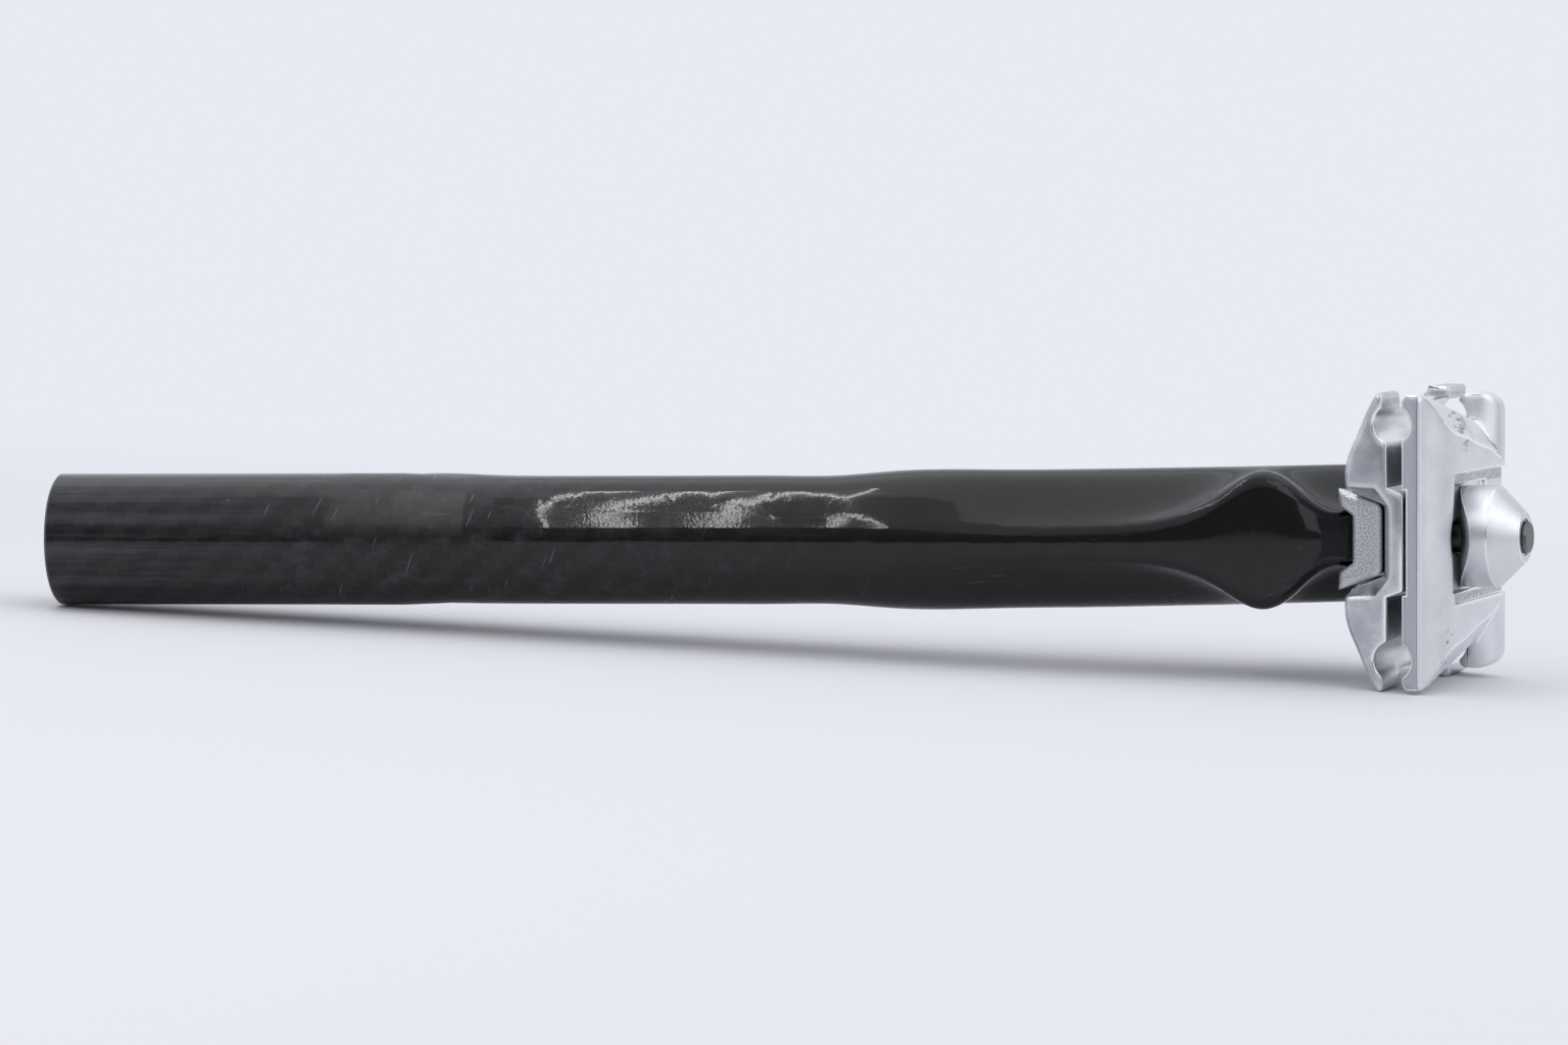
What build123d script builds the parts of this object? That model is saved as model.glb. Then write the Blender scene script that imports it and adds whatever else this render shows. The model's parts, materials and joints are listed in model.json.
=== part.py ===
from build123d import *
import os
from math import cos, degrees, radians, sin, sqrt, tan

# Post, along X from the open lower end; Y runs to the rear of the bicycle and Z across it
post_diameter = 25.0
base_length = 67.0
end_chamfer = 0.5
tube_wall = 3.0
bore_length = 150.0
bore_taper = 44.0
waist_relief = 0.28
waist_length = 14.0
shaft_start = 95.0
shaft_end = 150.0
seat_height = 247.6
setback = 14.0
bend_length = 94.0

# Moulded head: swelling, front ridge, flat hood and the neck under the cradle
swell = 0.5
ridge_face = 1.6
hood_face = 10.0
hood_rim = 3.2
hood_drop = 18.2
neck_face = 3.8
rib_height = 2.4
rib_width = 8.4

# Rail clamp, tipped forward from the post and centred between the two saddle rails
clamp_lean = 17.0
rail_diameter = 7.0
rail_spacing = 43.4
clamp_length = 44.0
seat_drop = 12.5
tilt_height = 42.0
tilt_travel = 6.0

# Cradle between the post and the lower clamp
cradle_length = 30.0
cradle_drop = 6.4
cradle_top_width = 13.0
flank_slope = 0.37
notch_mouth = 12.4
notch_width = 8.8
notch_depth = 2.7
cradle_edge = 0.5
cradle_corner = 1.8

# Lower clamp
lower_depth = 9.2
lower_lip = 2.3
front_lip = -1.9
rear_lip = 1.0
wing_length = 11.0
waist_corner = 2.0
waist_bite = 1.0
tip_round = 1.0
pad_width = 18.0
pad_height = 2.0
slot_floor = 1.1
mouth_half = 10.3
mouth_depth = 5.0
mouth_corner = 2.6
lower_edge = 0.9

# Upper clamp
upper_under = 1.8
upper_lip = 2.0
upper_tip = 0.9
front_band = 3.4
upper_height = 8.9
ramp_length = 10.0
lug_length = 8.0
side_taper = 7.6
ramp_taper = 1.4
ramp_fade = 0.3
lug_inset = 1.1
shoulder_width = 5.6
shoulder_drop = 3.6
lug_crown = 3.5
lug_round = 5.6
lug_foot = 2.0
step_width = 24.0
step_depth = 0.8
step_start = 11.0
step_corner = 1.2
dish_start = 12.8
nut_bay = 23.0
nut_floor = 7.0
upper_edge = 0.7

# Bolt, washer and cone nut
bolt_diameter = 6.0
bolt_head_diameter = 10.0
bolt_head_height = 6.0
hex_key = 5.0
hex_depth = 3.0
bolt_seat_drop = 28.0
bolt_proud = 0.8
bolt_chamfer = 0.35
washer_diameter = 12.0
washer_thickness = 1.6
pocket_depth = 34.0
nut_diameter = 19.0
nut_skirt = 7.0
nut_cone = 5.0
nut_tip = 9.4
nut_rocker = 13.3
nut_mouth = 7.0
nut_mouth_depth = 0.7

# Clearances
slide_gap = 0.3
web_gap = 0.5
bolt_gap = 0.3
thread_gap = 0.08
turn_gap = 0.1
pocket_gap = 0.5
pad_gap = 0.6
nut_gap = 0.4

post_radius = post_diameter / 2
shaft_radius = post_radius - waist_relief
bend_start = seat_height - bend_length
rail_radius = rail_diameter / 2
rail_offset = rail_spacing / 2
half_clamp = clamp_length / 2
bolt_radius = bolt_diameter / 2
lower_reach = rail_offset + rail_radius + lower_lip
upper_reach = rail_offset + rail_radius + upper_lip
lean = radians(clamp_lean)
bolt_way = Vector(cos(lean), -sin(lean), 0)
rail_way = Vector(sin(lean), cos(lean), 0)
rail_middle = Vector(seat_height, setback, 0) + bolt_way * seat_drop
clamp_place = Plane(origin=rail_middle, x_dir=rail_way, z_dir=bolt_way)
far_out = 4 * post_diameter


def sweep(x):
    """Rearward offset of the section's middle, a parabola from the bend to the seat."""
    if x < bend_start:
        return 0.0
    return setback * ((x - bend_start) / bend_length) ** 2


def section(x, front, face, face_turn, rim, rim_turn, side, widest, rear, pinch=1.0):
    """Closed outline across the post: crowned face, two turned rims, two flanks and a round back.

    front, widest and rear are measured from the section's middle, forward, rearward and rearward.
    face is half the front face, side half the full width, and the turns are angles in degrees.
    """
    middle = sweep(x)
    first = radians(face_turn)
    last = radians(rim_turn)
    crown = face * tan(first / 2)

    def at(across, back):
        return Vector(x, middle + back, across)

    def rim_point(turn, hand):
        across = face + rim * (sin(turn) - sin(first))
        back = crown - front + rim * (cos(first) - cos(turn))
        return at(hand * across, back)

    def rim_arc(hand):
        return ThreePointArc(
            rim_point(first, hand), rim_point((first + last) / 2, hand), rim_point(last, hand)
        )

    def flank(hand):
        return Spline(
            rim_point(last, hand),
            at(hand * side, widest),
            tangents=[(0, sin(last), hand * cos(last)), (0, 1, 0)],
            tangent_scalars=[pinch, 1.0],
        )

    back_plane = Plane(origin=at(0, widest), x_dir=(0, 0, 1), z_dir=(-1, 0, 0))
    face_arc = ThreePointArc(at(-face, crown - front), at(0, -front), at(face, crown - front))
    back_arc = Edge.make_ellipse(side, rear - widest, back_plane, 0, 180)
    outline = [face_arc, rim_arc(1), flank(1), back_arc, flank(-1), rim_arc(-1)]
    return Face(Wire(outline))


def round_section(x, radius):
    """A section whose face, rims and flanks all lie on one circle."""
    face = 0.25 * radius
    face_turn = degrees(2 * 0.1263)
    return section(x, radius, face, face_turn, radius, 2 * face_turn, radius, 0, radius)


def across_box(width, low, high, half_length):
    """A box centred on the clamp, between two heights above the rails."""
    return Pos(0, 0, (low + high) / 2) * Box(2 * half_length, width, high - low)


def tilt_wedge(top_radius, top_half, depth):
    """A trapezium swung about the tilt axis, which gives flanks that slide as the clamp tilts."""
    top = tilt_height - top_radius
    foot_half = top_half + flank_slope * depth
    corners = [(0, -top_half, top), (0, top_half, top)]
    corners += [(0, foot_half, top - depth), (0, -foot_half, top - depth)]
    profile = Face(Wire.make_polygon(corners))
    profile = profile.fillet_2d(cradle_corner, profile.vertices().sort_by(Axis.Z)[-2:])
    swing = 90.0
    axis = Axis((0, 0, tilt_height), (0, 1, 0))
    return revolve(profile.rotate(axis, -swing / 2), axis, swing)


def bolt_slot(swing_radius):
    """A slot that clears the bolt over the whole tilt."""
    width = bolt_diameter + 2 * bolt_gap
    length = width + 2 * swing_radius * sin(radians(tilt_travel))
    return extrude(SlotOverall(length, width), far_out, both=True)


def rail_groove(hand):
    """Round channel for one saddle rail, through the whole length of the clamp."""
    return Pos(0, hand * rail_offset, 0) * Rot(0, 90, 0) * Cylinder(rail_radius, 2 * clamp_length)


def make_post():
    """One moulding: round base, shaft, swept head with its hood, neck rib, bore and bolt seat."""
    side = post_radius
    hood = seat_height - hood_drop
    shaft_step = (shaft_end - shaft_start) / 5
    stations = [
        round_section(base_length + 2, shaft_radius),
        round_section(base_length + 15, shaft_radius),
    ]
    for i in range(6):
        x = shaft_start + i * shaft_step
        stations.append(section(x, side + 0.6, 3.0, 14, side, 28, side - 0.4, -2.4, side - 0.4))
    stations += [
        section(bend_start + 7, side + 1.1, 2.8, 13, 9.0, 30, side + swell - 0.1, -1.8, side),
        section(hood - 47, side + 2.2, ridge_face, 10, 3.2, 52, side + swell, -1.0, side + 0.2),
        section(hood - 31, side + 2.9, ridge_face, 8, 2.8, 58, side + swell, -0.5, side + 0.4),
        section(hood - 20, side + 3.1, ridge_face + 0.6, 6, 2.6, 70, side + swell, 0.4, side + 0.7),
        section(hood - 9, side + 2.9, 0.58 * hood_face, 5, 2.8, 95, side + swell, 1.2, side + 1.3, 1.2),
        section(hood, side + 2.7, hood_face, 5, hood_rim, 118, side + swell, 1.9, side + 2.1, 1.4),
        section(hood + 5, side + 2.5, 0.82 * hood_face, 7, hood_rim, 116, side + swell, 2.3, side + 2.5, 1.4),
        section(hood + 9.5, side + 1.7, 0.5 * hood_face, 9, 2.4, 102, side + swell, 2.6, side + 2.6, 1.3),
        section(hood + 14, side + 0.5, neck_face, 9, 1.5, 92, side + swell, 2.8, side + 2.5, 1.2),
        section(hood + 20, side + 0.9, neck_face, 9, 1.3, 92, side + swell, 2.8, side + 2.3, 1.2),
        section(hood + 30, side + 2.4, neck_face, 9, 1.3, 92, side + swell, 2.8, side + 2.0, 1.2),
    ]
    body = loft(stations)

    base_profile = Polyline(
        (0, 0),
        (0, post_radius - end_chamfer),
        (end_chamfer, post_radius),
        (base_length, post_radius),
        (base_length + waist_length, post_radius - 2 * waist_relief),
        (base_length + waist_length, 0),
        close=True,
    )
    body += revolve(make_face(base_profile), Axis.X)

    bore_radius = post_radius - tube_wall
    bore_neck = bore_radius / 2
    bore_end = bore_length + bore_taper
    bore_profile = Polyline(
        (-1, 0),
        (-1, bore_radius),
        (bore_length, bore_radius),
        (bore_end, bore_neck),
        (bore_end + bore_neck, 0),
        close=True,
    )
    body -= revolve(make_face(bore_profile), Axis.X)

    above_seat = across_box(far_out, -seat_drop, far_out, far_out)
    above_seat -= across_box(rib_width, -seat_drop, rib_height - seat_drop, far_out)
    body -= clamp_place * above_seat

    hole = Pos(0, 0, -seat_drop) * Cylinder(bolt_radius + bolt_gap, 2 * bolt_seat_drop)
    pocket_radius = washer_diameter / 2 + pocket_gap
    pocket = Pos(0, 0, -bolt_seat_drop - pocket_depth / 2) * Cylinder(pocket_radius, pocket_depth)
    return body - clamp_place * (hole + pocket)


def make_cradle():
    """Rocker with a hollow seat for the lower clamp, notched below to sit over the neck rib."""
    seat_radius = tilt_height + cradle_drop
    block = tilt_wedge(seat_radius, cradle_top_width / 2, seat_drop)
    block &= across_box(far_out, -seat_drop, 0, cradle_length / 2)
    notch_corners = [(0, -notch_mouth / 2, -seat_drop), (0, notch_mouth / 2, -seat_drop)]
    notch_corners += [(0, notch_width / 2, notch_depth - seat_drop)]
    notch_corners += [(0, -notch_width / 2, notch_depth - seat_drop)]
    notch = extrude(Face(Wire.make_polygon(notch_corners)), cradle_length, dir=(1, 0, 0), both=True)
    block -= notch
    block -= Cylinder(bolt_radius + bolt_gap, far_out)
    ends = block.faces().filter_by(Axis.X)
    return fillet(ends.edges(), cradle_edge)


def channel_mouth(seat_radius, channel_half):
    """Cut that opens the channel's sides towards the rear face of the lower clamp."""
    inside = half_clamp - mouth_depth
    low = -far_out / 8
    roof_inside = tilt_height - sqrt(seat_radius**2 - inside**2)
    roof_outside = tilt_height - sqrt(seat_radius**2 - half_clamp**2)
    foot_half = channel_half + flank_slope * (roof_inside - low)
    knee_half = channel_half + flank_slope * mouth_corner
    outlines = []
    for x, top, foot, knee in (
        (inside, roof_inside, foot_half, knee_half),
        (half_clamp + slide_gap, roof_outside, mouth_half, mouth_half),
    ):
        corners = [(foot, low), (knee, top - mouth_corner), (channel_half, top)]
        corners += [(-y, z) for y, z in reversed(corners)]
        outlines.append(Face(Wire.make_polygon([(x, y, z) for y, z in corners])))
    return loft(outlines, ruled=True)


def jaw_outline(lip):
    """Half of the lower clamp's section, with the outer lip of the rail seat at a given height."""
    pad_half = pad_width / 2
    shoulder = front_lip - tip_round
    top = Polyline(
        (lower_reach, shoulder),
        (lower_reach, lip),
        (rail_offset, lip),
        (rail_offset, -slot_floor),
        (pad_half + slot_floor, -slot_floor),
        (pad_half, pad_height),
        (0, pad_height),
        (0, -lower_depth),
        (0.43 * lower_reach, -lower_depth),
    )
    belly = Spline(
        (0.43 * lower_reach, -lower_depth),
        (0.72 * lower_reach, -0.74 * lower_depth),
        (lower_reach, shoulder),
        tangents=[(1, 0), (0.78, 0.62)],
    )
    outline = make_face([top, belly])
    tip = outline.vertices().sort_by_distance((lower_reach, lip))[0]
    return Plane.YZ * fillet(tip, 0.9 * tip_round)


def make_lower_clamp():
    """Forged lower half: four winged rail seats round a channel that rides on the cradle."""
    half_body = extrude(jaw_outline(rear_lip), half_clamp)
    half_body += extrude(jaw_outline(front_lip), -half_clamp)
    body = half_body + mirror(half_body, Plane.XZ)
    ends = body.faces().filter_by(Plane.YZ).filter_by(lambda face: abs(face.center().X) > half_clamp / 2)
    rims = ends.edges().filter_by_position(Axis.Z, -far_out, front_lip - tip_round)
    body = fillet(rims, lower_edge)

    waist_half = half_clamp - wing_length
    waist_inner = rail_offset + rail_radius - waist_bite
    gap = RectangleRounded(2 * waist_half, 2 * waist_inner, waist_corner)
    for hand in (1, -1):
        body -= Pos(0, hand * 2 * waist_inner, 0) * extrude(gap, far_out, both=True)
        body -= rail_groove(hand)

    seat_radius = tilt_height + cradle_drop - web_gap
    channel_half = cradle_top_width / 2 + slide_gap * sqrt(1 + flank_slope**2)
    channel_half -= flank_slope * web_gap
    body -= tilt_wedge(seat_radius, channel_half, far_out / 4)
    mouth = channel_mouth(seat_radius, channel_half)
    body -= mouth
    body -= mirror(mouth, Plane.YZ)
    return body - bolt_slot(seat_radius)


def roof(x, outer, edge, ridge, top):
    """Section across the upper clamp: flat top, sloped shoulders, upright sides and blunt tips."""
    half = [(outer - upper_tip, upper_under), (outer, upper_under + upper_tip), (outer, edge), (ridge, top)]
    corners = half + [(-y, z) for y, z in reversed(half)]
    return Face(Wire.make_polygon([(x, y, z) for y, z in corners]))


def make_upper_clamp():
    """Upper half: thin front band, ramp, narrowing shoulders, rear lugs and the nut's channel."""
    band_top = upper_under + front_band
    ramp_end = ramp_length - half_clamp
    lug_front = half_clamp - lug_length
    shoulder_edge = upper_height - shoulder_drop
    waist = upper_reach - side_taper
    ramp_middle = ramp_end - ramp_length / 2
    ramp_reach = upper_reach - ramp_taper
    roof_end = lug_front + lug_round + 1
    stations = [
        roof(-half_clamp, upper_reach, band_top - 0.4, upper_reach - 1.2, band_top),
        roof(
            ramp_middle,
            upper_reach - ramp_taper / 3,
            (band_top + shoulder_edge) / 2,
            upper_reach - shoulder_width * 0.6,
            band_top + 0.55 * (upper_height - band_top),
        ),
        roof(ramp_end, ramp_reach, shoulder_edge, ramp_reach - shoulder_width, upper_height - ramp_fade),
    ]
    for share in (0.2, 0.4, 0.6, 0.8, 1.0):
        x = ramp_end + share * (roof_end - ramp_end)
        reach = ramp_reach + share * (waist - ramp_reach)
        stations.append(roof(x, reach, shoulder_edge, reach - shoulder_width, upper_height))
    body = loft(stations)
    lug_reach = upper_reach - lug_inset
    lug_outline = Polyline(
        (0, upper_under),
        (lug_reach, upper_under),
        (lug_reach, upper_height),
        (0, upper_height),
        close=True,
    )
    lug_face = make_face(lug_outline)
    corner = lug_face.vertices().sort_by_distance((lug_reach, upper_height))[0]
    lug_face = fillet(corner, lug_crown)
    corner = lug_face.vertices().sort_by_distance((lug_reach, upper_under))[0]
    lug_face = fillet(corner, lug_foot)
    lug = Pos(lug_front, 0, 0) * extrude(Plane.YZ * lug_face, lug_length)
    brow_outline = Polyline(
        (lug_front, upper_under),
        (half_clamp, upper_under),
        (half_clamp, upper_height),
        (lug_front, upper_height),
        close=True,
    )
    brow_face = make_face(brow_outline)
    corner = brow_face.vertices().sort_by_distance((lug_front, upper_height))[0]
    brow_face = fillet(corner, lug_round)
    corner = brow_face.vertices().sort_by_distance((lug_front, upper_under))[0]
    brow_face = fillet(corner, lug_foot / 2)
    lug &= extrude(Plane.XZ * brow_face, far_out, both=True)
    body += lug + mirror(lug, Plane.XZ)
    body = fillet(body.faces().sort_by(Axis.X)[-1].edges(), upper_edge)

    dish = Pos(clamp_length - dish_start, 0) * SlotOverall(2 * clamp_length, nut_diameter)
    step = Pos(clamp_length - step_start, 0) * RectangleRounded(2 * clamp_length, step_width, step_corner)
    for plan in (dish, step):
        body -= Pos(0, 0, upper_height - step_depth) * extrude(plan, far_out)
    body -= across_box(nut_diameter + 2 * nut_gap, nut_floor, far_out, nut_bay / 2)
    body -= bolt_slot(tilt_height - upper_under)
    body -= across_box(pad_width + 2 * pad_gap, 0, pad_height + pad_gap, far_out)
    for hand in (1, -1):
        body -= rail_groove(hand)
    return body


def make_cone_nut():
    """Turned nut: cone over a short skirt, with a rocker foot that rolls in the channel."""
    foot = nut_floor + turn_gap
    shoulder = foot + nut_skirt
    tip = shoulder + nut_cone
    hole = bolt_radius + thread_gap
    profile = Polyline(
        (hole, foot),
        (nut_diameter / 2, foot),
        (nut_diameter / 2, shoulder),
        (nut_tip / 2, tip),
        (nut_mouth / 2, tip),
        (nut_mouth / 2, tip - nut_mouth_depth),
        (hole, tip - nut_mouth_depth),
        close=True,
    )
    nut = revolve(Plane.XZ * make_face(profile), Axis.Z)
    rocker = Pos(0, 0, foot + nut_rocker) * Rot(90, 0, 0) * Cylinder(nut_rocker, 2 * nut_diameter)
    return nut & rocker


def make_washer():
    """Plain washer under the bolt's head, in the pocket at the back of the post's head."""
    middle = -bolt_seat_drop - washer_thickness / 2
    disc = Cylinder(washer_diameter / 2, washer_thickness)
    disc -= Cylinder(bolt_radius + bolt_gap, washer_thickness)
    return Pos(0, 0, middle) * disc


def make_bolt():
    """Socket head bolt, up through post, cradle and both clamps into the nut."""
    head_top = -bolt_seat_drop - washer_thickness - turn_gap
    nut_end = nut_floor + turn_gap + nut_skirt + nut_cone
    length = nut_end + bolt_proud - head_top
    shank = Pos(0, 0, head_top + length / 2) * Cylinder(bolt_radius, length)
    shank = chamfer(shank.edges().sort_by(Axis.Z)[-1], bolt_chamfer)
    head = Pos(0, 0, head_top - bolt_head_height / 2) * Cylinder(bolt_head_diameter / 2, bolt_head_height)
    head = chamfer(head.edges().sort_by(Axis.Z)[0], bolt_chamfer)
    socket = extrude(RegularPolygon(hex_key / 2, 6, major_radius=False), hex_depth)
    return shank + head - Pos(0, 0, head_top - bolt_head_height) * socket


# Every piece where it sits on the post
nodes = {
    "post_body": make_post(),
    "cradle": clamp_place * make_cradle(),
    "lower_clamp": clamp_place * make_lower_clamp(),
    "upper_clamp": clamp_place * make_upper_clamp(),
    "cone_nut": clamp_place * make_cone_nut(),
    "bolt_washer": clamp_place * make_washer(),
    "clamp_bolt": clamp_place * make_bolt(),
}

# Lying on its side: the rim of the lower end and two wing tips touch the ground
tip_reach = rail_middle.X - rail_middle.Y * tan(lean) - slot_floor / cos(lean)
rise = (lower_reach - post_radius) / (tip_reach * cos(lean))
lie_axis = Axis((0, 0, 0), tuple(rail_way))
lie_angle = -degrees(rise)
laid = {name: shape.rotate(lie_axis, lie_angle) for name, shape in nodes.items()}
box = Compound(children=[Compound(shape.solids()) for shape in laid.values()]).bounding_box()
to_origin = Pos(-box.center().X, -box.center().Y, -box.min.Z)

os.makedirs("parts", exist_ok=True)
for name, shape in laid.items():
    export_step(to_origin * shape, f"parts/{name}.step")
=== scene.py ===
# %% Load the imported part
import json
from math import cos, pi, radians, sin

import bmesh
import bpy
from mathutils import Matrix, Vector


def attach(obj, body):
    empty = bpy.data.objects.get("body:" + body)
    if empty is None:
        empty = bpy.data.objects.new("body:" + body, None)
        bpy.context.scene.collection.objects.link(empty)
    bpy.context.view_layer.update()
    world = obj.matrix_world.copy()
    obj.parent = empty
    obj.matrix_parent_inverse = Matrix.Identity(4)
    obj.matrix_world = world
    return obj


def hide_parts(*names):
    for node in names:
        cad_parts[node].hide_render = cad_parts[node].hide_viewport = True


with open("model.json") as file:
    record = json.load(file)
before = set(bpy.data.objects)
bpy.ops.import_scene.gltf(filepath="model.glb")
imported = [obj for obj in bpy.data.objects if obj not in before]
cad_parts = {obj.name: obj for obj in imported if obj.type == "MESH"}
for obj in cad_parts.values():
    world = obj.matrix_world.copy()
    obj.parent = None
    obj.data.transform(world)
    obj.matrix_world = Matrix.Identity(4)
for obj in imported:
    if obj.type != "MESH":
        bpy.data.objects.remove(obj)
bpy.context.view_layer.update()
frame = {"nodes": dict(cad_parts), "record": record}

print("loaded nodes:", sorted(frame["nodes"]))

# %% [markdown]
# The seatpost lies on its side, so its own directions don't match the scene's.
# The record already holds them: the bolt's axis, the tilt axis and one rail's axis.
# Reading them there keeps every pattern and the camera tied to the part, with no second set of numbers.

# %% Directions of the post and of its clamp
record = frame["record"]
joints = {joint["name"]: joint for joint in record["behaviour"]["joints"]}
mounts = {mount["name"]: mount for mount in record["mounts"]}
bolt_way = Vector(joints["bolt_turn"]["axis"])
side_way = Vector(joints["clamp_tilt"]["axis"])
rail_way = Vector(mounts["rail_upper_side"]["axis"])
clamp_middle = Vector(joints["bolt_turn"]["pos_m"])
post_way = -Vector(mounts["post_base"]["axis"])
rear_way = side_way.cross(post_way)
base_mount = mounts["post_base"]
end_margin = 0.0005
lower_end = Vector(base_mount["pos_m"]) - post_way * (base_mount["dims"]["length_mm"] / 2000 + end_margin)


def turn_of(x_way, y_way, z_way):
    """The rotation whose axes are the three given directions."""
    return Matrix((x_way, y_way, z_way)).transposed().to_euler()


post_turn = turn_of(post_way, rear_way, side_way)
clamp_turn = turn_of(rail_way, side_way, bolt_way)
print("clamp middle:", [round(v, 4) for v in clamp_middle])

# %% [markdown]
# Shader nodes take many lines when each socket is set by itself.
# A small class holds one material: it makes a node, fills its sockets and links what comes in as a socket.
# Every finish below is then a short list of what the real surface has.

# %% Helpers for finishes


class Finish:
    """One material with its node tree, a principled shader and the piece's own coordinates."""

    def __init__(self, name, place=None, turn=None):
        self.material = bpy.data.materials.new(name)
        self.material.use_nodes = True
        self.tree = self.material.node_tree
        self.shader = self.tree.nodes["Principled BSDF"]
        self.coords = self.add("ShaderNodeTexCoord").outputs["Object"]
        if place is not None:
            mapping = self.add("ShaderNodeMapping", vector_type="TEXTURE", Vector=self.coords)
            mapping.inputs["Location"].default_value = place
            mapping.inputs["Rotation"].default_value = turn
            self.coords = mapping.outputs["Vector"]
        split = self.add("ShaderNodeSeparateXYZ", Vector=self.coords)
        self.x, self.y, self.z = split.outputs

    def fill(self, socket, value):
        """Links a socket, or sets it to a number, a vector or a colour."""
        if isinstance(value, bpy.types.NodeSocket):
            self.tree.links.new(value, socket)
        elif socket.type == "RGBA" and len(value) == 3:
            socket.default_value = (*value, 1.0)
        else:
            socket.default_value = value

    def add(self, kind, **values):
        """A node, with its settings and sockets filled by name."""
        made = self.tree.nodes.new(kind)
        for key, value in values.items():
            socket = made.inputs.get(key.replace("_", " "))
            if socket is None:
                setattr(made, key, value)
            else:
                self.fill(socket, value)
        return made

    def math(self, operation, first, second=0.0):
        """One sum on numbers or sockets."""
        made = self.add("ShaderNodeMath", operation=operation)
        for socket, value in zip(made.inputs, (first, second)):
            self.fill(socket, value)
        return made.outputs[0]

    def times(self, first, second):
        """Product of numbers or sockets."""
        return self.math("MULTIPLY", first, second)

    def most(self, first, second):
        """The larger of two numbers or sockets."""
        return self.math("MAXIMUM", first, second)

    def ramp(self, value, low, high, start=0.0, end=1.0):
        """Soft step: start below low, end above high."""
        made = self.add("ShaderNodeMapRange", interpolation_type="SMOOTHSTEP", Value=value)
        made.inputs["From Min"].default_value = low
        made.inputs["From Max"].default_value = high
        made.inputs["To Min"].default_value = start
        made.inputs["To Max"].default_value = end
        return made.outputs["Result"]

    def noise(self, stretch, scale=1.0, detail=3.0, rough=0.55):
        """Noise on the piece's coordinates, stretched per axis."""
        mapped = self.add("ShaderNodeMapping", Vector=self.coords, Scale=stretch)
        made = self.add("ShaderNodeTexNoise", Vector=mapped.outputs["Vector"], Scale=scale)
        made.inputs["Detail"].default_value = detail
        made.inputs["Roughness"].default_value = rough
        return made.outputs["Fac"]

    def mix(self, factor, first, second):
        """Blend of two colours."""
        made = self.add("ShaderNodeMix", data_type="RGBA")
        sockets = [made.inputs["Factor"], made.inputs[6], made.inputs[7]]
        for socket, value in zip(sockets, (factor, first, second)):
            self.fill(socket, value)
        return made.outputs[2]

    def bump(self, height, strength, distance, onto=None):
        """Bump from a height, on top of another bump where one is given."""
        made = self.add("ShaderNodeBump", Height=height, Strength=strength, Distance=distance)
        if onto is not None:
            self.fill(made.inputs["Normal"], onto)
        return made.outputs["Normal"]

    def rims(self, radius):
        """Rounded normals at the edges within a radius, and a mask that is 1 on those rims."""
        rounded = self.add("ShaderNodeBevel", samples=6, Radius=radius).outputs["Normal"]
        straight = self.add("ShaderNodeNewGeometry").outputs["Normal"]
        likeness = self.add("ShaderNodeVectorMath", operation="DOT_PRODUCT")
        self.fill(likeness.inputs[0], rounded)
        self.fill(likeness.inputs[1], straight)
        return rounded, self.ramp(likeness.outputs["Value"], 0.93, 0.998, 1.0, 0.0)

    def set(self, **sockets):
        """Fills sockets of the shader by name, with underscores for spaces."""
        for key, value in sockets.items():
            self.fill(self.shader.inputs[key.replace("_", " ")], value)


def dress(piece, *finishes):
    """Gives a piece its finishes, one per material slot."""
    slots = [polygon.material_index for polygon in piece.data.polygons]
    piece.data.materials.clear()
    for finish in finishes:
        piece.data.materials.append(finish.material)
    if len(finishes) > 1:
        piece.data.polygons.foreach_set("material_index", slots)


print("helpers ready")

# %% [markdown]
# The post is carbon cloth under a thick clear lacquer: near black, with a faint brown-grey twill that shows
# at the round base and fades towards the head, where the moulding has a plain dark skin.
# The twill could be an image, but a weave is easy to count out: one set of bands runs along the post and one
# round it, and in a two by two twill each band goes over two and under two.
# Distance round the post comes from the angle about its own axis, which bends back in the head.

# %% Cloth of the post
carbon = Finish("carbon_lacquer", lower_end, post_turn)
bend_start = 0.1536
bend_length = 0.094
sweep_back = 0.014
shaft_radius = 0.0125
tow = 0.0020
dark_tow = (0.0042, 0.0041, 0.0047)
pale_tow = (0.0140, 0.0130, 0.0142)
bend = carbon.math("DIVIDE", carbon.math("SUBTRACT", carbon.x, bend_start), bend_length)
bend = carbon.most(bend, 0.0)
swept = carbon.times(carbon.times(bend, bend), sweep_back)
back = carbon.math("SUBTRACT", carbon.y, swept)
round_way = carbon.times(carbon.math("ARCTAN2", carbon.z, back), shaft_radius)
wander = carbon.times(carbon.math("SUBTRACT", carbon.noise((90, 90, 90), 1.0, 2.0), 0.5), 0.7)
along = carbon.math("ADD", carbon.math("DIVIDE", carbon.x, tow), wander)
around = carbon.math("SUBTRACT", carbon.math("DIVIDE", round_way, tow), wander)
order = carbon.math("ADD", carbon.math("FLOOR", along), carbon.math("FLOOR", around))
over = carbon.math("LESS_THAN", carbon.math("FLOORED_MODULO", order, 4.0), 1.5)
fibre = carbon.noise((260, 4200, 4200), 1.0, 2.0)
weave_shown = carbon.ramp(carbon.x, 0.06, 0.17, 1.0, 0.10)
weave = carbon.times(over, weave_shown)
weave_tone = carbon.times(weave, carbon.ramp(fibre, 0.25, 0.75, 0.45, 1.0))
cloth = carbon.mix(weave_tone, dark_tow, pale_tow)
print("twill of", tow * 1000, "mm bands")

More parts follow.
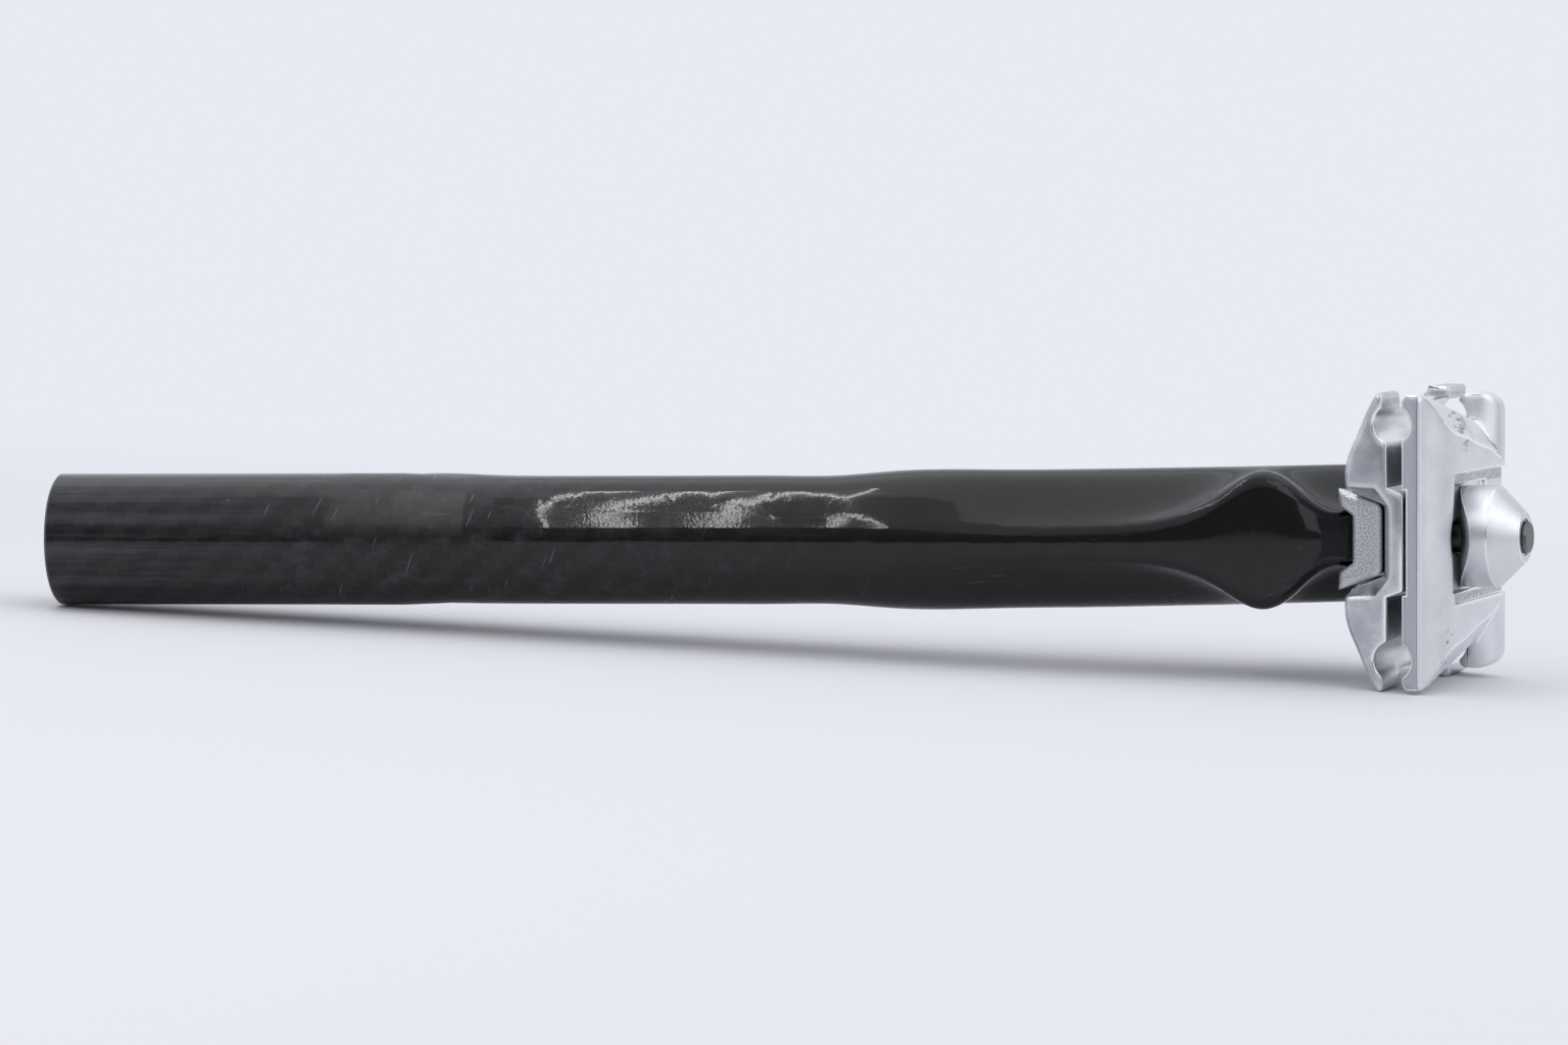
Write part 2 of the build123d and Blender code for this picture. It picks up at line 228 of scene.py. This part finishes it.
# %% [markdown]
# The lacquer is worn from sliding in a frame: hair lines along the post, a streaky haze at the base, a few
# slanting scratches, cloudy scuffs half way up and a pale nick here and there.
# It could be painted by hand on an unwrapped map. Noise is chosen, as it needs no picture and has no seam.
# Each mark is stretched the way it was made and kept to its own part of the post.

# %% Wear of the lacquer
hair = carbon.ramp(carbon.noise((10, 1700, 1700), 1.0, 2.0, 0.6), 0.64, 0.74)
patchy = carbon.ramp(carbon.noise((22, 60, 60), 1.0, 3.0), 0.45, 0.62)
hair = carbon.times(hair, patchy)
slanted = carbon.add("ShaderNodeMapping", Vector=carbon.coords, Rotation=(0.0, radians(68), 0.0))
slant_noise = carbon.add("ShaderNodeMapping", Vector=slanted.outputs["Vector"], Scale=(70, 150, 2600))
slant_noise = carbon.add("ShaderNodeTexNoise", Vector=slant_noise.outputs["Vector"], Scale=1.0, Detail=1.0)
slant = carbon.ramp(slant_noise.outputs["Fac"], 0.74, 0.78)
rubbed_zone = carbon.ramp(carbon.x, 0.09, 0.17, 1.0, 0.0)
rubbed_zone = carbon.times(rubbed_zone, carbon.ramp(carbon.x, 0.03, 0.05))
slant = carbon.times(slant, rubbed_zone)
cloud = carbon.ramp(carbon.noise((190, 230, 230), 1.0, 8.0, 0.75), 0.48, 0.70)
cloud = carbon.times(cloud, rubbed_zone)
nick = carbon.ramp(carbon.noise((500, 900, 900), 1.0, 1.0), 0.82, 0.84)
nick = carbon.times(nick, carbon.ramp(carbon.x, 0.06, 0.12, 1.0, 0.0))
worn = carbon.most(carbon.times(hair, 0.10), carbon.times(slant, 0.35))
worn = carbon.most(worn, carbon.times(nick, 0.6))
worn = carbon.most(worn, carbon.times(cloud, 0.06))
haze = carbon.ramp(carbon.noise((14, 420, 420), 1.0, 4.0, 0.65), 0.40, 0.68)
haze = carbon.times(haze, carbon.ramp(carbon.x, 0.015, 0.075, 1.0, 0.0))
worn = carbon.most(worn, carbon.times(haze, 0.07))
bare_scratch = (0.40, 0.41, 0.43)
carbon_tone = carbon.mix(worn, cloth, bare_scratch)
dull = carbon.math("ADD", 0.30, carbon.times(cloud, 0.15))
scratches = carbon.most(hair, slant)
print("wear marks: hair lines, slanting scratches, clouds, nicks and haze")

# %% [markdown]
# Under the lacquer each band of cloth is a little raised.
# The clear coat over it is glossy, and dull only where a frame's collar pinches it.
# One bump could serve both, but the coat has its own, wavy and finely scuffed up to the head.
# Those waves are what breaks a straight lamp into ragged streaks on the real shaft.

# %% Clear coat
tow_crown = carbon.math("SINE", carbon.times(carbon.math("FRACT", around), pi))
relief = carbon.times(carbon.times(tow_crown, weave_shown), over)
carbon_bump = carbon.bump(relief, 0.04, 0.0001)
carbon_bump = carbon.bump(scratches, 0.10, 0.00005, carbon_bump)
scuffed = carbon.ramp(carbon.x, 0.14, 0.18, 1.0, 0.0)
swell = carbon.times(carbon.noise((45, 70, 70), 1.0, 2.0), scuffed)
streak = carbon.times(carbon.noise((9, 520, 520), 1.0, 2.0), scuffed)
scuffs = carbon.times(carbon.noise((1500, 1500, 1500), 1.0, 1.0), scuffed)
coat_bump = carbon.bump(swell, 0.05, 0.0012)
coat_bump = carbon.bump(streak, 0.05, 0.0004, coat_bump)
coat_bump = carbon.bump(scuffs, 0.08, 0.00005, coat_bump)
coat_bump = carbon.bump(scratches, 0.06, 0.00004, coat_bump)
carbon.set(Base_Color=carbon_tone, Roughness=dull, Normal=carbon_bump, IOR=1.5, Specular_IOR_Level=0.08)
pinched = carbon.ramp(carbon.x, 0.080, 0.092, 1.0, 0.0)
pinched = carbon.times(pinched, carbon.ramp(carbon.x, 0.050, 0.060))
coat_rough = carbon.ramp(pinched, 0.0, 1.0, 0.06, 0.36)
carbon.set(Coat_Weight=0.65, Coat_Roughness=coat_rough, Coat_IOR=1.5, Coat_Normal=coat_bump)
dress(frame["nodes"]["post_body"], carbon)
print("post dressed in", carbon.material.name)

# %% [markdown]
# Forged, cast and turned metal has no knife edges: every corner is broken by tumbling or a tool.
# That small round catches light, and without it a clamp looks like paper.
# A copy of each clamp half and of the nut is merged, its flat faces are joined up, and its sharp edges are
# bevelled where both faces are wide enough for it.
# The faces that the bevel makes get a second, brighter finish: partly polish from hands and rails, partly a
# painted highlight along the edges.
# The copy then stands for the solid, which stays as it is for the simulation.
# The small cradle keeps its own solid, and its finish rounds the edges in the shading alone.

# %% Softened copies of the clamp's pieces
sharp_angle = radians(28)
smooth_angle = radians(34)
flat_angle = radians(0.6)
seam_gap = 5e-5
sliver = 5e-6


def wide_enough(edge, width):
    """True where both faces beside an edge have room for a bevel of this width."""
    return min(2 * face.calc_area() / face.calc_perimeter() for face in edge.link_faces) > width / 2


def drop_slivers(shaped):
    """Merges what the bevel has pressed flat and deletes faces that lie back to back."""
    bmesh.ops.remove_doubles(shaped, verts=shaped.verts, dist=sliver)
    bmesh.ops.dissolve_degenerate(shaped, edges=shaped.edges, dist=sliver)
    bmesh.ops.triangulate(shaped, faces=shaped.faces)
    by_corners = {}
    for face in shaped.faces:
        by_corners.setdefault(frozenset(face.verts), []).append(face)
    flaps = [face for pair in by_corners.values() if len(pair) > 1 for face in pair]
    bmesh.ops.delete(shaped, geom=flaps, context="FACES")


def softened(node, width):
    """A copy of a node with its sharp edges rounded by a small bevel, whose faces take slot 1."""
    shaped = bmesh.new()
    shaped.from_mesh(frame["nodes"][node].data)
    bmesh.ops.remove_doubles(shaped, verts=shaped.verts, dist=seam_gap)
    bmesh.ops.dissolve_limit(shaped, angle_limit=flat_angle, verts=shaped.verts, edges=shaped.edges)
    whole = [edge for edge in shaped.edges if edge.is_manifold]
    sharp = [edge for edge in whole if edge.calc_face_angle() > sharp_angle]
    corners = [edge for edge in sharp if wide_enough(edge, width)]
    made = bmesh.ops.bevel(
        shaped,
        geom=corners,
        offset=width,
        offset_type="OFFSET",
        affect="EDGES",
        segments=3,
        profile=0.5,
        material=-1,
        clamp_overlap=False,
    )
    for face in made["faces"]:
        face.material_index = 1
    drop_slivers(shaped)
    loose = sum(not edge.is_manifold for edge in shaped.edges)
    mesh = bpy.data.meshes.new(node + "_softened")
    shaped.to_mesh(mesh)
    shaped.free()
    if "custom_normal" in mesh.attributes:
        mesh.attributes.remove(mesh.attributes["custom_normal"])
    mesh.polygons.foreach_set("use_smooth", [True] * len(mesh.polygons))
    mesh.set_sharp_from_angle(angle=smooth_angle)
    piece = bpy.data.objects.new(node + "_softened", mesh)
    bpy.context.scene.collection.objects.link(piece)
    print(node, "softened:", len(mesh.polygons), "triangles,", len(corners), "edges rounded,", loose, "loose")
    return piece


forged_round = 0.0004
turned_round = 0.00012
lower_clamp = softened("lower_clamp", forged_round)
upper_clamp = softened("upper_clamp", forged_round)
cone_nut = softened("cone_nut", turned_round)
for piece, node, body in (
    (lower_clamp, "lower_clamp", "lower_jaw"),
    (upper_clamp, "upper_clamp", "upper_jaw"),
    (cone_nut, "cone_nut", "nut"),
):
    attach(piece, body)
    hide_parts(node)

# %% [markdown]
# The two clamp halves are forged aluminium: a fine blasted grain with a cool silver tone on the end faces,
# and a smoother satin on the broad upper face. Every rounded edge is paler: partly rubbed bright, partly a
# painted highlight mixed into the colour.
# Round the rail holes the metal has been polished by the saddle rails. Its place is known from the rail axes,
# so the finish measures its distance from them.

# %% Satin forged aluminium
rail_offset = 0.0217
rail_radius = 0.0035
rim_reach = 0.0018


def rail_distance(finish):
    """Distance of the surface from the nearer rail's wall, in metres."""
    across = finish.math("SUBTRACT", finish.math("ABSOLUTE", finish.y), rail_offset)
    across = finish.times(across, across)
    square = finish.math("ADD", across, finish.times(finish.z, finish.z))
    return finish.math("SUBTRACT", finish.math("SQRT", square), rail_radius)


def forged(name, dark, pale, base_rough, grain_depth):
    """Silver satin metal with soft forging relief, fine grain, polished rims at the rails and a painted
    highlight on every edge.
    """
    finish = Finish(name, clamp_middle, clamp_turn)
    rounded, worn = finish.rims(rim_reach)
    rubbed_and_highlit_rim = finish.most(worn, finish.ramp(rail_distance(finish), 0.0001, 0.0005, 1.0, 0.0))
    mottle = finish.noise((140, 140, 140), 1.0, 4.0, 0.6)
    grain = finish.noise((3200, 3200, 3200), 1.0, 2.0)
    tone = finish.times(finish.ramp(mottle, 0.3, 0.75), finish.ramp(grain, 0.2, 0.8, 0.4, 1.0))
    skin = finish.mix(tone, dark, pale)
    # Rims are mixed towards near white: rubbed wear at the rails and edges, and a painted highlight along
    # every edge.
    finish.skin = finish.mix(finish.times(rubbed_and_highlit_rim, 0.9), skin, (0.95, 0.96, 0.97))
    uneven = finish.times(finish.math("SUBTRACT", mottle, 0.5), 0.18)
    finish.rough = finish.math("ADD", uneven, base_rough)
    finish.rough = finish.math("SUBTRACT", finish.rough, finish.times(rubbed_and_highlit_rim, 0.1))
    finish.relief = finish.bump(mottle, 0.05, 0.0004, rounded)
    finish.relief = finish.bump(grain, grain_depth, 0.00008, finish.relief)
    return finish


# The bevel faces get a pale polished finish: partly rubbed wear, partly a painted highlight along the edges.
rubbed_and_highlit_edge = Finish("rubbed_and_highlit_edge_alloy", clamp_middle, clamp_turn)
rubbed_and_highlit_tone = rubbed_and_highlit_edge.mix(rubbed_and_highlit_edge.noise((700, 700, 700), 1.0, 3.0), (0.82, 0.83, 0.85), (0.95, 0.95, 0.96))
rubbed_fine = rubbed_and_highlit_edge.bump(rubbed_and_highlit_edge.noise((2500, 2500, 2500), 1.0, 2.0), 0.05, 0.00005)
rubbed_and_highlit_edge.set(Base_Color=rubbed_and_highlit_tone, Metallic=1.0, Roughness=0.2, Normal=rubbed_fine)

lower_metal = forged("lower_satin_alloy", (0.42, 0.44, 0.47), (0.76, 0.78, 0.81), 0.31, 0.3)
lower_metal.set(Base_Color=lower_metal.skin, Metallic=1.0)
lower_metal.set(Roughness=lower_metal.rough, Normal=lower_metal.relief)
dress(lower_clamp, lower_metal, rubbed_and_highlit_edge)
print("lower clamp dressed in", lower_metal.material.name)

# %% [markdown]
# The upper half carries the marks of use: dark rubbed-in dirt on one flank beside the rear lug, a few black
# specks on the other, a darker blasted front band and a pitted strip on each side of the nut.
# Each mark is noise cut down to the place where it is, in the clamp's own directions.

# %% Marks on the upper clamp
upper_metal = forged("upper_satin_alloy", (0.76, 0.775, 0.80), (0.88, 0.89, 0.90), 0.46, 0.08)
band = upper_metal.ramp(upper_metal.x, -0.0219, -0.0216, 1.0, 0.0)
upper_tone = upper_metal.mix(upper_metal.times(band, 0.75), upper_metal.skin, (0.42, 0.44, 0.48))


def near(finish, place, reach):
    """A soft ball round a place in the clamp's own millimetres."""
    spread = finish.add("ShaderNodeVectorMath", operation="DISTANCE")
    finish.fill(spread.inputs[0], finish.coords)
    finish.fill(spread.inputs[1], [v / 1000 for v in place])
    return finish.ramp(spread.outputs["Value"], reach * 0.0004, reach * 0.001, 1.0, 0.0)


dirt = upper_metal.ramp(upper_metal.noise((160, 900, 900), 1.0, 5.0, 0.7), 0.48, 0.56)
dirt = upper_metal.times(dirt, near(upper_metal, (-3.0, 22.0, 6.5), 8.0))
speck = upper_metal.ramp(upper_metal.noise((900, 900, 900), 1.0, 2.0), 0.64, 0.68)
speck = upper_metal.times(speck, near(upper_metal, (-14.0, -21.0, 7.0), 6.0))
upper_tone = upper_metal.mix(upper_metal.times(dirt, 0.7), upper_tone, (0.10, 0.085, 0.07))
upper_tone = upper_metal.mix(speck, upper_tone, (0.03, 0.03, 0.03))
across = upper_metal.math("ABSOLUTE", upper_metal.y)
strip = upper_metal.ramp(across, 0.0097, 0.0099)
strip = upper_metal.times(strip, upper_metal.ramp(across, 0.0119, 0.0121, 1.0, 0.0))
strip = upper_metal.times(strip, upper_metal.ramp(upper_metal.x, -0.0113, -0.0109))
strip = upper_metal.times(strip, upper_metal.ramp(upper_metal.z, 0.0076, 0.0079))
pitted = upper_metal.ramp(upper_metal.noise((2400, 2400, 2400), 1.0, 3.0), 0.4, 0.6, 0.25, 0.85)
upper_tone = upper_metal.mix(upper_metal.times(strip, pitted), upper_tone, (0.34, 0.34, 0.34))
upper_metal.set(Base_Color=upper_tone, Metallic=1.0)
upper_metal.set(Roughness=upper_metal.rough, Normal=upper_metal.relief)
dress(upper_clamp, upper_metal, rubbed_and_highlit_edge)
print("marks: dirt on one flank, specks on the other, a dark band and two pitted strips")

# %% [markdown]
# The cradle is sandblasted: a coarse even grain with no gloss, and bright edges that are partly rubbed and
# partly a painted highlight.
# Grains in the mesh would cost far too many faces.
# One sand noise gives both the tone and the bump instead, so pale grains are also the raised ones.

# %% Blasted cradle
blasted = Finish("blasted_alloy", clamp_middle, clamp_turn)
sand = blasted.noise((3000, 3000, 3000), 1.0, 2.0)
blasted_tone = blasted.mix(blasted.ramp(sand, 0.35, 0.65), (0.36, 0.37, 0.39), (0.70, 0.71, 0.73))
blasted_round, blasted_worn_and_highlit = blasted.rims(rim_reach)
# Every edge is mixed towards near white: partly rubbed wear, partly a painted highlight.
blasted_tone = blasted.mix(blasted_worn_and_highlit, blasted_tone, (0.93, 0.94, 0.95))
blasted_rough = blasted.ramp(blasted_worn_and_highlit, 0.0, 1.0, 0.42, 0.25)
blasted_relief = blasted.bump(sand, 0.4, 0.0001, blasted_round)
blasted.set(Base_Color=blasted_tone, Metallic=1.0, Roughness=blasted_rough, Normal=blasted_relief)
dress(frame["nodes"]["cradle"], blasted)
print("cradle dressed in", blasted.material.name)

# %% [markdown]
# The cone nut is turned on a lathe, so its marks are fine rings about the bolt's axis.
# Grooves could be spun into the mesh, but these are finer than a hair.
# A noise with one dimension, read at height less radius, draws them on the cone and on the round skirt alike.

# %% Turned cone nut
turned = Finish("turned_alloy", clamp_middle, clamp_turn)
square_x = turned.times(turned.x, turned.x)
from_axis = turned.math("SQRT", turned.math("ADD", square_x, turned.times(turned.y, turned.y)))
rings_per_metre = 5200.0
ring_place = turned.times(turned.math("SUBTRACT", turned.z, from_axis), rings_per_metre)
ring_lines = turned.add("ShaderNodeTexNoise", noise_dimensions="1D", W=ring_place, Detail=2.0).outputs["Fac"]
turned_tone = turned.mix(ring_lines, (0.60, 0.61, 0.63), (0.82, 0.83, 0.84))
turned_rough = turned.ramp(ring_lines, 0.3, 0.7, 0.28, 0.40)
turned_relief = turned.bump(ring_lines, 0.25, 0.00005)
turned.set(Base_Color=turned_tone, Metallic=1.0, Roughness=turned_rough, Normal=turned_relief)
dress(cone_nut, turned, rubbed_and_highlit_edge)
print("nut dressed in", turned.material.name)

# %% [markdown]
# The bolt and its washer are dark steel, blotched by handling.
# One broad noise sets tone, gloss and relief, because a stain changes all three in the same place.

# %% Dark steel
steel = Finish("dark_steel", clamp_middle, clamp_turn)
steel_stain = steel.noise((500, 500, 500), 1.0, 4.0)
steel_tone = steel.mix(steel.ramp(steel_stain, 0.35, 0.7), (0.10, 0.10, 0.105), (0.24, 0.24, 0.25))
steel.set(Base_Color=steel_tone, Metallic=1.0, Roughness=steel.ramp(steel_stain, 0.3, 0.7, 0.3, 0.5))
steel.set(Normal=steel.bump(steel_stain, 0.1, 0.0001))
dress(frame["nodes"]["clamp_bolt"], steel)
dress(frame["nodes"]["bolt_washer"], steel)
print("metal finishes:", [m.name for m in bpy.data.materials if "alloy" in m.name or "steel" in m.name])

# %% [markdown]
# The camera looks square at the post's head from the front of the bicycle, so the far end of the post turns
# slightly away. It stands about a metre off with a long lens, and its upright matches the clamp's width.
# It could be set by eye. A distance, a lift and one known point in the picture fix it for good instead.

# %% Camera
image_width = 1600
image_height = 1066
focal_pixels = 5290.0
camera_distance = 0.978
camera_lift = radians(4.0)
head_pixel = Vector((1456.0, 546.0))
sight = (rear_way * cos(camera_lift) - side_way * sin(camera_lift)).normalized()
camera_place = clamp_middle - sight * camera_distance
camera_right = post_way
camera_up = camera_right.cross(sight).normalized()
turn_left = (head_pixel.x - image_width / 2) / focal_pixels
turn_up = (head_pixel.y - image_height / 2) / focal_pixels
axis = (sight - camera_right * turn_left + camera_up * turn_up).normalized()
right = axis.cross(camera_up).normalized()
up = right.cross(axis)
camera_data = bpy.data.cameras.new("front_camera")
camera_data.sensor_fit = "HORIZONTAL"
camera_data.sensor_width = 36.0
camera_data.lens = focal_pixels / image_width * camera_data.sensor_width
camera = bpy.data.objects.new("front_camera", camera_data)
camera.matrix_world = Matrix.Translation(camera_place) @ Matrix((right, up, -axis)).transposed().to_4x4()
bpy.context.scene.collection.objects.link(camera)
bpy.context.scene.camera = camera
print("camera at", [round(v, 3) for v in camera_place], "lens", round(camera_data.lens, 1))

# %% [markdown]
# A pale floor runs back into pale paper. A curved sheet could do it, but one plane is enough.
# Far off, its material turns into the paper's own glow for the rays that see it.
# Close by it stays a plain surface that keeps the shadow.

# %% Floor
floor_finish = Finish("pale_floor")
floor_finish.set(Base_Color=(0.765, 0.755, 0.785), Roughness=0.9, Specular_IOR_Level=0.1)
paper_colour = (0.80, 0.83, 0.89)
floor_size = 6.0
paper_glow = floor_finish.add("ShaderNodeEmission", Color=(*paper_colour, 1.0), Strength=1.0)
far_off = floor_finish.ramp(floor_finish.y, 0.05, 0.45)
rays = floor_finish.add("ShaderNodeLightPath").outputs
seen = floor_finish.most(rays["Is Camera Ray"], rays["Is Glossy Ray"])
seen = floor_finish.most(seen, rays["Is Transmission Ray"])
far_seen = floor_finish.times(far_off, seen)
fade = floor_finish.add("ShaderNodeMixShader", Fac=far_seen)
floor_finish.tree.links.new(floor_finish.shader.outputs["BSDF"], fade.inputs[1])
floor_finish.tree.links.new(paper_glow.outputs["Emission"], fade.inputs[2])
floor_out = floor_finish.tree.nodes["Material Output"].inputs["Surface"]
floor_finish.tree.links.new(fade.outputs["Shader"], floor_out)
sheet = bmesh.new()
bmesh.ops.create_grid(sheet, x_segments=1, y_segments=1, size=floor_size)
floor_mesh = bpy.data.meshes.new("floor")
sheet.to_mesh(floor_mesh)
sheet.free()
floor = bpy.data.objects.new("floor", floor_mesh)
bpy.context.scene.collection.objects.link(floor)
dress(floor, floor_finish)
print("floor of", floor_size * 2, "m")

# %% [markdown]
# The room is a sky whose strength depends on the direction: a bright ceiling, a bright far side and a bright
# left side, and a dim side behind the camera.
# An even sky would turn the lacquer grey. The dim side is what the lacquer mirrors, so the post looks black
# while the metal stays bright.

# %% Room
world = bpy.data.worlds.new("studio")
bpy.context.scene.world = world
world.use_nodes = True
sky_tree = world.node_tree
sky = sky_tree.nodes["Background"]
sky.inputs["Color"].default_value = (*paper_colour, 1.0)
heading = sky_tree.nodes.new("ShaderNodeTexCoord")
ways = sky_tree.nodes.new("ShaderNodeSeparateXYZ")
sky_tree.links.new(heading.outputs["Generated"], ways.inputs["Vector"])
sky_strength = None
for way, low, high, dim, bright in (
    ("Z", 0.02, 0.75, 0.15, 0.9),
    ("Y", 0.30, 0.80, 0.0, 1.0),
    ("X", -0.50, -0.90, 0.0, 1.0),
):
    glow = sky_tree.nodes.new("ShaderNodeMapRange")
    glow.interpolation_type = "SMOOTHSTEP"
    sky_tree.links.new(ways.outputs[way], glow.inputs["Value"])
    glow.inputs["From Min"].default_value = low
    glow.inputs["From Max"].default_value = high
    glow.inputs["To Min"].default_value = dim
    glow.inputs["To Max"].default_value = bright
    if sky_strength is None:
        sky_strength = glow.outputs["Result"]
        continue
    brighter = sky_tree.nodes.new("ShaderNodeMath")
    brighter.operation = "MAXIMUM"
    sky_tree.links.new(sky_strength, brighter.inputs[0])
    sky_tree.links.new(glow.outputs["Result"], brighter.inputs[1])
    sky_strength = brighter.outputs["Value"]
sky_tree.links.new(sky_strength, sky.inputs["Strength"])
print("room made of", len(sky_tree.nodes), "nodes")

# %% [markdown]
# A wide soft lamp overhead makes the long strip on the lacquer, one from the clamp's end fills the metal, and
# three thin tube lamps draw the curved streaks on the shaft.
# Point lamps would be simpler, but they leave only dots on a glossy coat, so every lamp here has a real size.

# %% Lamps


def soft_lamp(name, place, aim, width, depth, power, tint=(1.0, 1.0, 1.0)):
    """A rectangular lamp that faces a point."""
    data = bpy.data.lights.new(name, "AREA")
    data.shape = "RECTANGLE"
    data.size = width
    data.size_y = depth
    data.energy = power
    data.color = tint
    lamp = bpy.data.objects.new(name, data)
    lamp.location = place
    lamp.rotation_euler = (Vector(aim) - Vector(place)).to_track_quat("-Z", "Y").to_euler()
    bpy.context.scene.collection.objects.link(lamp)
    return lamp


soft_lamp("overhead", (0.05, 0.25, 0.95), (0.0, 0.0, 0.03), 1.6, 0.9, 2.5)
soft_lamp("clamp_fill", (1.05, -0.32, 0.55), (0.1, 0.0, 0.03), 1.0, 1.0, 3.4, (0.94, 0.97, 1.0))
for place in (-0.215, -0.178, -0.140):
    soft_lamp("tube_lamp", (place, -0.34, 0.64), (place, 0.0, 0.03), 0.003, 1.0, 0.4)
bpy.context.scene.view_settings.view_transform = "Standard"
print("lamps:", [light.name for light in bpy.data.lights])
